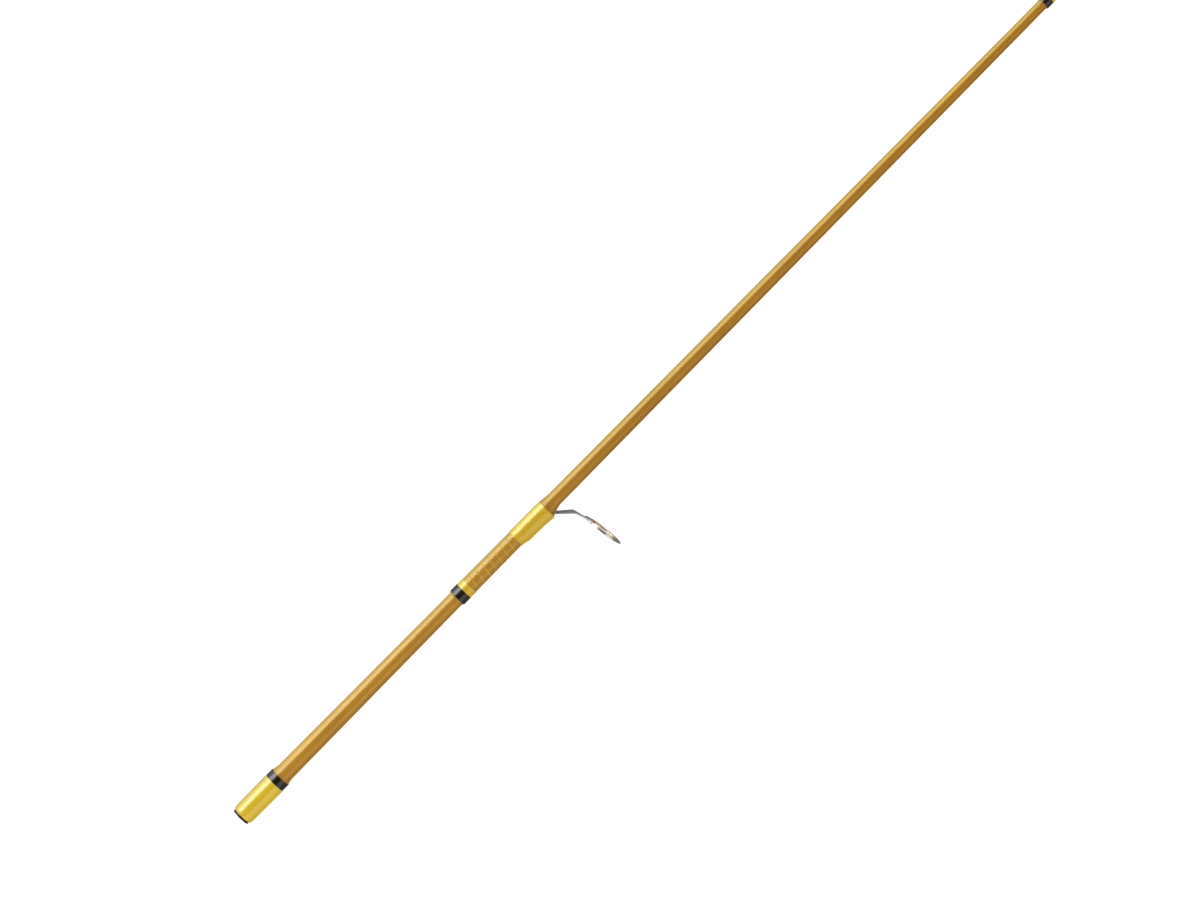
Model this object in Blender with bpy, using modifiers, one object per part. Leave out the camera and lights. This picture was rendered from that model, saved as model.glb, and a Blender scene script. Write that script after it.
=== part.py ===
# Tip section of a two-piece spinning rod: a hollow tapered blank with a female ferrule,
# three single-foot ring guides and a tip-top, all bound on with thread wraps.
# Metres. X runs along the rod from the ferrule mouth to the tip, and the guides hang towards -Z.

import math

import bmesh
import bpy
from mathutils import Vector

# Blank
BLANK_END = 0.990
TIP_DIAMETER = 0.0022
TAPER = 0.0067
FERRULE_SWELL = 0.00075
SWELL_LENGTH = 0.220
MOUTH_WALL = 0.00095
TIP_WALL = 0.00055

# Ferrule end
LIP_LENGTH = 0.0012
LIP_INSET = 0.00018
LIP_CHAMFER = 0.0003
FERRULE_WRAP_LENGTH = 0.0220
FERRULE_WRAP_BUILD = 0.00056
FERRULE_WRAP_SHOULDER = 0.00050
FERRULE_BAND_LENGTH = 0.0041
FERRULE_BAND_BUILD = 0.00066
FERRULE_FINISH_LENGTH = 0.0028
FERRULE_FINISH_BUILD = 0.00055

# Clearances between bonded pieces
SEAT_GAP = 0.00008
END_GAP = 0.00010
LEG_CLEARANCE = 0.0003

# Thread and finish on the guides
BAND_SHOULDER = 0.00018
UNDER_FOOT_BUILD = 0.00020
FOOT_WRAP_WALL = 0.00020
FINISH_EDGE = 0.00006
FINISH_BUILD = 0.00022
SPIRAL_THREAD = 0.00032
SPIRAL_MARGIN = 0.0006

# Ring guides, from the butt end to the tip
LEG_ANGLE = math.radians(46.0)
RING_LEAN = math.radians(8.0)
FOOT_INSET = 0.0010
FOOT_TIP_SHARE = 0.35
FOOT_GROUND_LENGTH_SHARE = 0.6
HEEL_BEND_SHEETS = 1.6
KNEE_BEND_SHEETS = 2.8

GUIDES = (
    {
        "name": "guide1",
        "start": 0.1484,
        "trim_length": 0.0046,
        "accent_length": 0.0043,
        "open_length": 0.0308,
        "foot_wrap_length": 0.0213,
        "finish_length": 0.0046,
        "trim_build": 0.00057,
        "accent_build": 0.00048,
        "underwrap_build": 0.00034,
        "foot_peak_build": 0.00055,
        "lobe_height": 0.00045,
        "ring_diameter": 0.0218,
        "frame_ring_width": 0.0013,
        "frame_ring_depth": 0.0010,
        "liner_width": 0.0014,
        "liner_depth": 0.0015,
        "ring_height": 0.0307,
        "ring_reach": 0.0106,
        "knee_height": 0.0124,
        "sheet": 0.0010,
        "foot_width": 0.0020,
        "leg_width": 0.0042,
        "spiral_turns": 7,
        "round_steps": 24,
        "ring_steps": 44,
    },
    {
        "name": "guide2",
        "start": 0.5496,
        "trim_length": 0.0038,
        "accent_length": 0.0034,
        "open_length": 0.0200,
        "foot_wrap_length": 0.0160,
        "finish_length": 0.0036,
        "trim_build": 0.00048,
        "accent_build": 0.00040,
        "underwrap_build": 0.00030,
        "foot_peak_build": 0.00042,
        "lobe_height": 0.00035,
        "ring_diameter": 0.0134,
        "frame_ring_width": 0.0010,
        "frame_ring_depth": 0.0009,
        "liner_width": 0.0011,
        "liner_depth": 0.0013,
        "ring_height": 0.0185,
        "ring_reach": 0.0072,
        "knee_height": 0.0080,
        "sheet": 0.0008,
        "foot_width": 0.0018,
        "leg_width": 0.0032,
        "spiral_turns": 5,
        "round_steps": 20,
        "ring_steps": 36,
    },
    {
        "name": "guide3",
        "start": 0.7850,
        "trim_length": 0.0030,
        "accent_length": 0.0027,
        "open_length": 0.0135,
        "foot_wrap_length": 0.0120,
        "finish_length": 0.0030,
        "trim_build": 0.00040,
        "accent_build": 0.00034,
        "underwrap_build": 0.00026,
        "foot_peak_build": 0.00034,
        "lobe_height": 0.00028,
        "ring_diameter": 0.0096,
        "frame_ring_width": 0.0009,
        "frame_ring_depth": 0.0008,
        "liner_width": 0.0009,
        "liner_depth": 0.0011,
        "ring_height": 0.0128,
        "ring_reach": 0.0054,
        "knee_height": 0.0056,
        "sheet": 0.0007,
        "foot_width": 0.0015,
        "leg_width": 0.0025,
        "spiral_turns": 4,
        "round_steps": 16,
        "ring_steps": 28,
    },
)

# Tip-top
TUBE_LENGTH = 0.0130
TUBE_WALL = 0.00035
NOSE_LENGTH = 0.0012
NOSE_CONE_LENGTH = 0.0008
NECK_LENGTH = 0.0006
NECK_RADIUS = 0.0004
TIP_RING_DIAMETER = 0.0080
TIP_FRAME_WIDTH = 0.0009
TIP_FRAME_DEPTH = 0.0009
TIP_LINER_WIDTH = 0.0008
TIP_LINER_DEPTH = 0.0011
TIP_RING_LEAN = math.radians(12.0)
BRACE_DIAMETER = 0.0008
BRACE_START = 0.0035
BRACE_SPREAD = math.radians(58.0)
TIP_WRAP_LENGTH = 0.0120
TIP_WRAP_BUILD = 0.00035
TIP_BAND_LENGTH = 0.0030
TIP_BAND_BUILD = 0.00038
TIP_ROUND_STEPS = 16
TIP_RING_STEPS = 28

# Fineness, and how edges are eased
BLANK_STEPS = 24
SPIRAL_POINTS = 24
WRAP_BACK_STEPS = 8
BRACE_SIDES = 10
MERGE = 0.00001
SHARP_ANGLE = math.radians(35.0)
SHOULDER_EASE = 1.0 - math.sqrt(0.5)
CLIP_SHARE = 0.25
FINISH_CURVE = 1.5

# Colours as linear red, green and blue, then metallic and roughness
FINISHES = {
    "blank_amber": ((0.445, 0.205, 0.028), 0.0, 0.22),
    "thread_yellow": ((0.640, 0.470, 0.045), 0.0, 0.20),
    "thread_black": ((0.012, 0.010, 0.011), 0.0, 0.18),
    "thread_brown": ((0.470, 0.225, 0.032), 0.0, 0.22),
    "clear_finish": ((0.430, 0.190, 0.026), 0.0, 0.12),
    "steel": ((0.560, 0.550, 0.560), 1.0, 0.16),
    "gold_liner": ((0.800, 0.520, 0.210), 1.0, 0.14),
}


def blank_radius(x):
    swell = FERRULE_SWELL * max(0.0, 1.0 - x / SWELL_LENGTH) ** 2
    return (TIP_DIAMETER + TAPER * (BLANK_END - x) + swell) / 2


def bore_radius(x):
    wall = MOUTH_WALL + (TIP_WALL - MOUTH_WALL) * x / BLANK_END
    return blank_radius(x) - wall


def spaced(first, last, count):
    return [first + (last - first) * i / (count - 1) for i in range(count)]


# Materials and collections


def clear_scene():
    for item in list(bpy.data.objects):
        bpy.data.objects.remove(item)


def new_collection(name):
    collection = bpy.data.collections.new(name)
    bpy.context.scene.collection.children.link(collection)
    return collection


def principled(name):
    colour, metallic, roughness = FINISHES[name]
    material = bpy.data.materials.new(name)
    material.use_nodes = True
    shader = material.node_tree.nodes["Principled BSDF"]
    shader.inputs["Base Color"].default_value = (*colour, 1.0)
    shader.inputs["Metallic"].default_value = metallic
    shader.inputs["Roughness"].default_value = roughness
    return material


clear_scene()
PARTS = new_collection("spinning_rod_tip_section")
TOOLS = new_collection("joined_shapes")
MATERIALS = {name: principled(name) for name in FINISHES}


# Shapes


def add_part(name, data, finish):
    part = bpy.data.objects.new(name, data)
    data.materials.append(MATERIALS[finish])
    PARTS.objects.link(part)
    return part


def add_tool(name, data):
    tool = bpy.data.objects.new(name, data)
    tool.hide_render = True
    tool.display_type = "WIRE"
    TOOLS.objects.link(tool)
    return tool


# A profile of (along, radius) points, turned about the local Z axis, which `tilt` lays along the rod.
# It runs down the outer side from the tip end to the butt end, and back up the inner side.
def turn(item, profile, steps, closed=True, centre=(0.0, 0.0, 0.0), tilt=math.pi / 2):
    points = [(radius, 0.0, along) for along, radius in profile]
    edges = [(i, i + 1) for i in range(len(points) - 1)]
    if closed:
        edges.append((len(points) - 1, 0))
    item.data.from_pydata(points, edges, [])
    item.location = centre
    item.rotation_euler = (0.0, tilt, 0.0)
    screw = item.modifiers.new("turn", "SCREW")
    screw.axis = "Z"
    screw.angle = math.tau
    screw.steps = steps
    screw.render_steps = steps
    screw.use_merge_vertices = True
    screw.merge_threshold = MERGE
    screw.use_smooth_shade = True
    return item


def turned_part(name, profile, finish, steps, **placing):
    return turn(add_part(name, bpy.data.meshes.new(name), finish), profile, steps, **placing)


# A band wound on what `inner` describes: both are radii as functions of the place along the rod.
def wrap_profile(start, end, inner, outer, shoulder, stations=2):
    lower = outer(end) - shoulder
    eased = shoulder * SHOULDER_EASE
    profile = [(end, lower), (end - eased, lower + shoulder - eased)]
    profile += [(x, outer(x)) for x in reversed(spaced(start + shoulder, end - shoulder, stations))]
    lower = outer(start) - shoulder
    profile += [(start + eased, lower + shoulder - eased), (start, lower)]
    profile += [(x, inner(x)) for x in spaced(start, end, stations)]
    return profile


# Finish that runs out from `build` thick to a thin edge.
def run_out_profile(start, end, build, edge, stations=4):
    profile = []
    for x in reversed(spaced(start, end, stations)):
        left = (end - x) / (end - start)
        profile.append((x, on_blank(x) + edge + (build - edge) * left ** FINISH_CURVE))
    return profile + [(start, on_blank(start)), (end, on_blank(end))]


def on_blank(x):
    return blank_radius(x) + SEAT_GAP


# Rings of points joined by quads: capped at both ends, or closed on itself as a shell.
def loft(mesh, rings, shell):
    build = bmesh.new()
    rows = [[build.verts.new(p) for p in ring] for ring in rings]
    pairs = list(zip(rows, rows[1:]))
    if shell:
        pairs.append((rows[-1], rows[0]))
    for one, two in pairs:
        for i in range(len(one)):
            j = (i + 1) % len(one)
            build.faces.new((one[i], one[j], two[j], two[i]))
    if not shell:
        build.faces.new(rows[0])
        build.faces.new(rows[-1])
    bmesh.ops.recalc_face_normals(build, faces=build.faces[:])
    build.to_mesh(mesh)
    build.free()
    mesh.shade_smooth()
    mesh.set_sharp_from_angle(angle=SHARP_ANGLE)


# A point at `radius` from the rod's axis, its angle counted from the guides' side.
def around(x, angle, radius):
    return Vector((x, radius * math.sin(angle), -radius * math.cos(angle)))


def join(part, tool):
    union = part.modifiers.new("join_" + tool.name, "BOOLEAN")
    union.operation = "UNION"
    union.solver = "EXACT"
    union.object = tool


# Blank and ferrule


def make_blank():
    start = LIP_LENGTH + SEAT_GAP
    outer = spaced(start, SWELL_LENGTH, 9) + spaced(SWELL_LENGTH, BLANK_END, 8)[1:]
    inner = spaced(start, SWELL_LENGTH, 6) + spaced(SWELL_LENGTH, BLANK_END, 4)[1:]
    profile = [(x, blank_radius(x)) for x in reversed(outer)]
    profile += [(x, bore_radius(x)) for x in inner]
    turned_part("blank", profile, "blank_amber", BLANK_STEPS)


def make_ferrule():
    lip_radius = blank_radius(0.0) - LIP_INSET
    lip = [
        (LIP_LENGTH, lip_radius),
        (LIP_CHAMFER, lip_radius),
        (0.0, lip_radius - LIP_CHAMFER),
        (0.0, bore_radius(0.0)),
        (LIP_LENGTH, bore_radius(LIP_LENGTH)),
    ]
    turned_part("ferrule_lip", lip, "thread_black", BLANK_STEPS)
    wrap_start = LIP_LENGTH + END_GAP
    wrap_end = wrap_start + FERRULE_WRAP_LENGTH
    wrap = wrap_profile(
        wrap_start,
        wrap_end,
        on_blank,
        lambda x: on_blank(x) + FERRULE_WRAP_BUILD,
        FERRULE_WRAP_SHOULDER,
        stations=4,
    )
    turned_part("ferrule_wrap", wrap, "thread_yellow", BLANK_STEPS)
    band_start = wrap_end + END_GAP
    band_end = band_start + FERRULE_BAND_LENGTH
    band = wrap_profile(
        band_start,
        band_end,
        on_blank,
        lambda x: on_blank(x) + FERRULE_BAND_BUILD,
        BAND_SHOULDER,
    )
    turned_part("ferrule_trim_band", band, "thread_black", BLANK_STEPS)
    finish_start = band_end + END_GAP
    finish = run_out_profile(
        finish_start, finish_start + FERRULE_FINISH_LENGTH, FERRULE_FINISH_BUILD, FINISH_EDGE
    )
    turned_part("ferrule_finish", finish, "clear_finish", BLANK_STEPS)


# Ring guides


# Where each piece of a guide lies along the rod, and how far its foot stands off the axis.
def guide_places(guide):
    places = {"trim_start": guide["start"]}
    places["trim_end"] = places["trim_start"] + guide["trim_length"]
    places["accent_start"] = places["trim_end"] + END_GAP
    places["accent_end"] = places["accent_start"] + guide["accent_length"]
    places["under_start"] = places["accent_end"] + END_GAP
    places["open_end"] = places["under_start"] + guide["open_length"]
    places["wrap_start"] = places["open_end"] + END_GAP
    places["wrap_end"] = places["wrap_start"] + guide["foot_wrap_length"]
    places["finish_start"] = places["wrap_end"] + END_GAP
    places["finish_end"] = places["finish_start"] + guide["finish_length"]
    places["foot_start"] = places["wrap_start"] + FOOT_INSET
    places["heel"] = places["wrap_end"] + LEG_CLEARANCE
    places["foot_seat"] = under_foot_radius(places["foot_start"]) + SEAT_GAP
    return places


def under_foot_radius(x):
    return on_blank(x) + UNDER_FOOT_BUILD


def foot_thickness(guide, places, x):
    ground = FOOT_GROUND_LENGTH_SHARE * (places["heel"] - places["foot_start"])
    share = min(1.0, max(0.0, (x - places["foot_start"]) / ground))
    return guide["sheet"] * (FOOT_TIP_SHARE + (1.0 - FOOT_TIP_SHARE) * share)


# The corners of a path, each rounded by an arc: (place along the rod, distance from the axis) points.
def rounded_path(corners, radii, steps):
    path = [Vector(corners[0])]
    for before, corner, after, radius in zip(corners, corners[1:], corners[2:], radii):
        corner = Vector(corner)
        back = (Vector(before) - corner).normalized()
        ahead = (Vector(after) - corner).normalized()
        half = back.angle(ahead) / 2
        reach = radius / math.tan(half)
        centre = corner + (back + ahead).normalized() * (radius / math.sin(half))
        first = corner + back * reach - centre
        last = corner + ahead * reach - centre
        for i in range(steps + 1):
            path.append(centre + first.slerp(last, i / steps).normalized() * radius)
    path.append(Vector(corners[-1]))
    return path


# The stamped foot and leg: flat sections with clipped corners along a bent path.
def leg_rings(guide, places):
    sheet = guide["sheet"]
    foot_line = places["foot_seat"] + sheet / 2
    knee_along = places["heel"] + (guide["knee_height"] - foot_line) / math.tan(LEG_ANGLE)
    middle = (guide["ring_diameter"] - guide["frame_ring_width"]) / 2
    ring_foot = (
        places["heel"] + guide["ring_reach"] - middle * math.sin(RING_LEAN),
        guide["ring_height"] - middle * math.cos(RING_LEAN),
    )
    ground_end = places["foot_start"] + FOOT_GROUND_LENGTH_SHARE * (
        places["heel"] - places["foot_start"]
    )
    bends = rounded_path(
        [(ground_end, foot_line), (places["heel"], foot_line), (knee_along, guide["knee_height"]), ring_foot],
        [HEEL_BEND_SHEETS * sheet, KNEE_BEND_SHEETS * sheet],
        4,
    )
    tip_sheet = foot_thickness(guide, places, places["foot_start"])
    path = [Vector((places["foot_start"], places["foot_seat"] + tip_sheet / 2))] + bends
    lengths = [0.0]
    for one, two in zip(bends, bends[1:]):
        lengths.append(lengths[-1] + (two - one).length)
    rings = []
    for i, point in enumerate(path):
        before = path[max(i - 1, 0)]
        after = path[min(i + 1, len(path) - 1)]
        run = (after - before).normalized() if i > 1 else Vector((1.0, 0.0))
        normal = Vector((-run.y, run.x))
        thick = tip_sheet if i == 0 else sheet
        share = max(0.0, lengths[i - 1] - lengths[1]) / (lengths[-1] - lengths[1]) if i else 0.0
        wide = guide["foot_width"] + (guide["leg_width"] - guide["foot_width"]) * share
        clip = thick * CLIP_SHARE
        rings.append(
            [
                plate_point(point, normal, side * (wide / 2 - inset_side), face * (thick / 2 - inset_face))
                for side, face, inset_side, inset_face in plate_corners(clip)
            ]
        )
    return rings


def plate_corners(clip):
    return [
        (1, 1, clip, 0.0),
        (1, 1, 0.0, clip),
        (1, -1, 0.0, clip),
        (1, -1, clip, 0.0),
        (-1, -1, clip, 0.0),
        (-1, -1, 0.0, clip),
        (-1, 1, 0.0, clip),
        (-1, 1, clip, 0.0),
    ]


def plate_point(point, normal, aside, off):
    place = point + normal * off
    return Vector((place.x, aside, -place.y))


# A frame ring with clipped edges, in its own frame: (along its axis, radius).
def frame_ring_profile(outer, width, depth):
    inner = outer - width
    clip = depth * CLIP_SHARE
    return [
        (depth / 2, outer - clip),
        (depth / 2 - clip, outer),
        (clip - depth / 2, outer),
        (-depth / 2, outer - clip),
        (-depth / 2, inner),
        (depth / 2, inner),
    ]


# A liner ring, flat where it is pressed into its frame and rounded inside.
def liner_profile(seat, width, depth):
    count = 6
    profile = []
    for i in range(count + 1):
        angle = math.pi * i / count
        profile.append((-depth / 2 * math.cos(angle), seat - width * math.sin(angle)))
    return profile


def make_ring_pair(frame_name, ring_name, centre, lean, sizes, steps):
    outer, frame_width, frame_depth, liner_width, liner_depth = sizes
    placing = {"centre": centre, "tilt": math.pi / 2 - lean}
    frame = turned_part(
        frame_name, frame_ring_profile(outer, frame_width, frame_depth), "steel", steps, **placing
    )
    seat = outer - frame_width - SEAT_GAP
    turned_part(
        ring_name, liner_profile(seat, liner_width, liner_depth), "gold_liner", steps, **placing
    )
    return frame


def make_guide_hardware(guide, places):
    name = guide["name"]
    centre = (places["heel"] + guide["ring_reach"], 0.0, -guide["ring_height"])
    sizes = (
        guide["ring_diameter"] / 2,
        guide["frame_ring_width"],
        guide["frame_ring_depth"],
        guide["liner_width"],
        guide["liner_depth"],
    )
    frame = make_ring_pair(
        name + "_frame", name + "_ring", centre, RING_LEAN, sizes, guide["ring_steps"]
    )
    leg = add_tool(name + "_leg", bpy.data.meshes.new(name + "_leg"))
    loft(leg.data, leg_rings(guide, places), shell=False)
    join(frame, leg)


def make_guide_bands(guide, places):
    name = guide["name"]
    steps = guide["round_steps"]
    trim = wrap_profile(
        places["trim_start"],
        places["trim_end"],
        on_blank,
        lambda x: on_blank(x) + guide["trim_build"],
        BAND_SHOULDER,
    )
    turned_part(name + "_trim_band", trim, "thread_black", steps)
    accent = wrap_profile(
        places["accent_start"],
        places["accent_end"],
        on_blank,
        lambda x: on_blank(x) + guide["accent_build"],
        BAND_SHOULDER,
    )
    turned_part(name + "_accent_band", accent, "thread_yellow", steps)


# Thick where it shows, and thin where the guide's foot and the foot wrap lie on it.
def make_underwrap(guide, places):
    start = places["under_start"]
    step = places["open_end"]
    end = places["wrap_end"]
    thick = guide["underwrap_build"]
    profile = [
        (end, under_foot_radius(end)),
        (step, under_foot_radius(step)),
        (step, on_blank(step) + thick),
        (start + BAND_SHOULDER, on_blank(start) + thick),
        (start, on_blank(start) + thick - BAND_SHOULDER),
        (start, on_blank(start)),
        (end, on_blank(end)),
    ]
    turned_part(guide["name"] + "_underwrap", profile, "thread_brown", guide["round_steps"])


def make_spiral(guide, places):
    start = places["under_start"] + SPIRAL_MARGIN
    end = places["open_end"] - SPIRAL_MARGIN
    turns = guide["spiral_turns"]
    lift = guide["underwrap_build"] + SEAT_GAP + SPIRAL_THREAD / 2
    count = turns * SPIRAL_POINTS
    points = []
    for i in range(count + 1):
        x = start + (end - start) * i / count
        points.append(around(x, math.tau * i / SPIRAL_POINTS, on_blank(x) + lift))
    points.insert(0, points[0] + (points[0] - points[1]).normalized() * SPIRAL_THREAD)
    points.append(points[-1] + (points[-1] - points[-2]).normalized() * SPIRAL_THREAD)
    name = guide["name"] + "_spiral_thread"
    curve = bpy.data.curves.new(name, "CURVE")
    curve.dimensions = "3D"
    curve.bevel_depth = SPIRAL_THREAD / 2
    curve.bevel_resolution = 1
    curve.use_fill_caps = True
    spline = curve.splines.new("POLY")
    spline.points.add(len(points) - 1)
    for slot, point in zip(spline.points, points):
        slot.co = (*point, 1.0)
    spline.use_smooth = True
    add_part(name, curve, "thread_yellow")
    print(name, "least gap between its turns, mm:", round(least_gap(points) * 1000, 2))


def least_gap(points):
    apart = SPIRAL_POINTS // 2
    least = min(
        (points[i] - points[j]).length
        for i in range(len(points))
        for j in range(i + apart, len(points))
    )
    return least - SPIRAL_THREAD


# The section of thread drawn taut over a round core and a foot: a tent on the guides' side.
# It gives (angle, radius) pairs all the way round, with a pair at each foot corner and tangent point.
def tent_section(core, peak, corner_angle, extra):
    slope = math.acos(min(1.0, core / peak))
    side = [0.0, corner_angle]
    side += [corner_angle + slope * i / 3 for i in range(1, 4)]
    rest = math.pi - side[-1]
    side += [side[-1] + rest * i / WRAP_BACK_STEPS for i in range(1, WRAP_BACK_STEPS + 1)]
    pairs = []
    for angle in side:
        from_tangent = min(max(corner_angle + slope - angle, 0.0), slope)
        lift = extra * max(0.0, math.cos(angle)) ** 2
        pairs.append((angle, core / math.cos(from_tangent) + lift))
    return pairs + [(-angle, radius) for angle, radius in reversed(pairs[1:-1])]


def make_foot_wrap(guide, places):
    start = places["wrap_start"]
    end = places["wrap_end"]
    foot = places["foot_start"] - LEG_CLEARANCE
    flat = math.cos(math.pi / (2 * WRAP_BACK_STEPS))
    stations = [start, start + (foot - start) / 2] + spaced(foot, end - FOOT_WRAP_WALL, 4) + [end]
    outer = []
    inner = []
    for x in stations:
        core = (under_foot_radius(x) + SEAT_GAP) / flat
        raised = min(1.0, (x - start) / (foot - start))
        top = places["foot_seat"] + foot_thickness(guide, places, x) + SEAT_GAP
        corner = math.atan2(guide["foot_width"] / 2, top)
        peak = core + (math.hypot(top, guide["foot_width"] / 2) + SEAT_GAP - core) * raised
        wall = FOOT_WRAP_WALL / 2 if x in (start, end) else FOOT_WRAP_WALL
        build = (guide["foot_peak_build"] - FOOT_WRAP_WALL) * raised
        inner.append(tent_ring(x, tent_section(core, peak, corner, 0.0)))
        outer.append(tent_ring(x, tent_section(core + wall, peak + wall, corner, build)))
    name = guide["name"] + "_foot_wrap"
    part = add_part(name, bpy.data.meshes.new(name), "thread_yellow")
    loft(part.data, outer + inner[::-1], shell=True)


def tent_ring(x, section):
    return [around(x, angle, radius) for angle, radius in section]


# The finish past the foot wrap: thin round the blank, with a lobe under the leg.
def make_guide_finish(guide, places):
    start = places["finish_start"]
    end = places["finish_end"]
    steps = guide["round_steps"]
    angles = [math.tau * i / steps for i in range(steps)]
    stations = spaced(start, end, 5)
    outer = []
    inner = []
    for x in stations:
        share = (x - start) / (end - start)
        build = FINISH_EDGE + (FINISH_BUILD - FINISH_EDGE) * (1.0 - share)
        lobe = guide["lobe_height"] * math.sin(math.pi * share) ** 2
        inner.append([around(x, angle, on_blank(x)) for angle in angles])
        outer.append(
            [
                around(x, angle, on_blank(x) + build + lobe * max(0.0, math.cos(angle)) ** 2)
                for angle in angles
            ]
        )
    name = guide["name"] + "_finish"
    part = add_part(name, bpy.data.meshes.new(name), "clear_finish")
    loft(part.data, outer + inner[::-1], shell=True)


def make_guide(guide):
    places = guide_places(guide)
    make_guide_bands(guide, places)
    make_underwrap(guide, places)
    make_spiral(guide, places)
    make_guide_hardware(guide, places)
    make_foot_wrap(guide, places)
    make_guide_finish(guide, places)


# Tip-top


def make_brace(side, start, end):
    name = "brace_" + side
    mesh = bpy.data.meshes.new(name)
    build = bmesh.new()
    radius = BRACE_DIAMETER / 2
    bmesh.ops.create_cone(
        build,
        cap_ends=True,
        segments=BRACE_SIDES,
        radius1=radius,
        radius2=radius,
        depth=(end - start).length,
    )
    build.to_mesh(mesh)
    build.free()
    brace = add_tool(name, mesh)
    brace.location = (start + end) / 2
    brace.rotation_euler = (end - start).to_track_quat("Z", "Y").to_euler()
    return brace


# A tube over the blank's end, closed by a cone and a neck. The ring is brazed to the neck and
# held by two braces.
def make_tiptop_hardware(tube_start):
    bore = on_blank(tube_start)
    tube_radius = bore + TUBE_WALL
    bore_end = tube_start + TUBE_LENGTH
    nose_end = bore_end + NOSE_LENGTH
    neck_end = nose_end + NECK_LENGTH
    tube = [
        (neck_end, 0.0),
        (neck_end, NECK_RADIUS),
        (nose_end, NECK_RADIUS),
        (nose_end - NOSE_CONE_LENGTH, tube_radius),
        (tube_start, tube_radius),
        (tube_start, bore),
        (bore_end, bore),
        (bore_end, 0.0),
    ]
    frame = turned_part("tiptop_frame", tube, "steel", TIP_ROUND_STEPS, closed=False)
    outer = TIP_RING_DIAMETER / 2
    middle = outer - TIP_FRAME_WIDTH / 2
    down = Vector((math.sin(TIP_RING_LEAN), 0.0, -math.cos(TIP_RING_LEAN)))
    centre = Vector((neck_end, 0.0, 0.0)) + down * middle
    placing = {"centre": centre, "tilt": math.pi / 2 - TIP_RING_LEAN}
    ring = turn(
        add_tool("tiptop_ring_frame", bpy.data.meshes.new("tiptop_ring_frame")),
        frame_ring_profile(outer, TIP_FRAME_WIDTH, TIP_FRAME_DEPTH),
        TIP_RING_STEPS,
        **placing,
    )
    join(frame, ring)
    brace_seat = bore + SEAT_GAP + BRACE_DIAMETER / 2
    for side, sign in (("left", 1.0), ("right", -1.0)):
        aside = Vector((0.0, sign, 0.0))
        on_tube = around(tube_start + BRACE_START, sign * math.pi / 4, brace_seat)
        on_ring = centre + (down * math.cos(BRACE_SPREAD) + aside * math.sin(BRACE_SPREAD)) * outer
        join(frame, make_brace(side, on_tube, on_ring))
    seat = outer - TIP_FRAME_WIDTH - SEAT_GAP
    turned_part(
        "tiptop_ring",
        liner_profile(seat, TIP_LINER_WIDTH, TIP_LINER_DEPTH),
        "gold_liner",
        TIP_RING_STEPS,
        **placing,
    )


def make_tiptop_wraps(tube_start):
    wrap_end = tube_start - END_GAP
    wrap_start = wrap_end - TIP_WRAP_LENGTH
    wrap = wrap_profile(
        wrap_start, wrap_end, on_blank, lambda x: on_blank(x) + TIP_WRAP_BUILD, BAND_SHOULDER
    )
    turned_part("tiptop_wrap", wrap, "thread_yellow", TIP_ROUND_STEPS)
    band_end = wrap_start - END_GAP
    band_start = band_end - TIP_BAND_LENGTH
    band = wrap_profile(
        band_start, band_end, on_blank, lambda x: on_blank(x) + TIP_BAND_BUILD, BAND_SHOULDER
    )
    turned_part("tiptop_trim_band", band, "thread_black", TIP_ROUND_STEPS)


def make_tiptop():
    tube_start = BLANK_END + END_GAP - TUBE_LENGTH
    make_tiptop_hardware(tube_start)
    make_tiptop_wraps(tube_start)


make_blank()
make_ferrule()
for each_guide in GUIDES:
    make_guide(each_guide)
make_tiptop()
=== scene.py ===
import math

import bmesh
import bpy
from mathutils import Matrix, Vector


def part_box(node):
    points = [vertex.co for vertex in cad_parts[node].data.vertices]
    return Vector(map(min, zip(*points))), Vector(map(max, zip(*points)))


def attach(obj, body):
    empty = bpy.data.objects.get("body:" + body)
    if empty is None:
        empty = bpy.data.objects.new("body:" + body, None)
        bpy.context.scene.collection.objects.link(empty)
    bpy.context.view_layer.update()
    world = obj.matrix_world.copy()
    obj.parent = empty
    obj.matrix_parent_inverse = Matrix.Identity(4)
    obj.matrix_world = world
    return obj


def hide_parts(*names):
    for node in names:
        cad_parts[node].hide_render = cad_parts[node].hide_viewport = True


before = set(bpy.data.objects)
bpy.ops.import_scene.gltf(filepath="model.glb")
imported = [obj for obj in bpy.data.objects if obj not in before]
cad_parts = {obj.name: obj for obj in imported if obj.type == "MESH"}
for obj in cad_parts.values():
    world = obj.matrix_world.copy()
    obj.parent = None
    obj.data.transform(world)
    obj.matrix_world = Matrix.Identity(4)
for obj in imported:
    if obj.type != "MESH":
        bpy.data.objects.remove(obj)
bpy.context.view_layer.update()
scene = bpy.context.scene
print("frame loaded:", len(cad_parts), "nodes")


white = (1.0, 1.0, 1.0, 1.0)


# Small helpers for node trees

def operator(operation):
    return lambda term, other: calc(term.tree, operation, term, other)


class Term:
    # a socket that can stand in plain arithmetic: every operator adds a Math node
    __add__ = operator("ADD")
    __sub__ = operator("SUBTRACT")
    __mul__ = operator("MULTIPLY")
    __truediv__ = operator("DIVIDE")

    def __init__(self, tree, socket):
        self.tree = tree
        self.socket = socket

    def __rsub__(self, other):
        return calc(self.tree, "SUBTRACT", other, self)


def named(tree, sockets):
    return {socket.name: Term(tree, socket) for socket in sockets}


def wire(tree, inputs, feeds):
    # an input takes a Term, a node by its first output, a socket or a plain value
    for key, value in feeds.items():
        if isinstance(value, Term):
            value = value.socket
        if isinstance(value, bpy.types.Node):
            value = value.outputs[0]
        if isinstance(value, bpy.types.NodeSocket):
            tree.links.new(value, inputs[key])
        else:
            inputs[key].default_value = value


def addNode(tree, kind, feeds=None, **settings):
    item = tree.nodes.new(kind)
    for key, value in settings.items():
        setattr(item, key, value)
    wire(tree, item.inputs, feeds or {})
    return item


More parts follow.
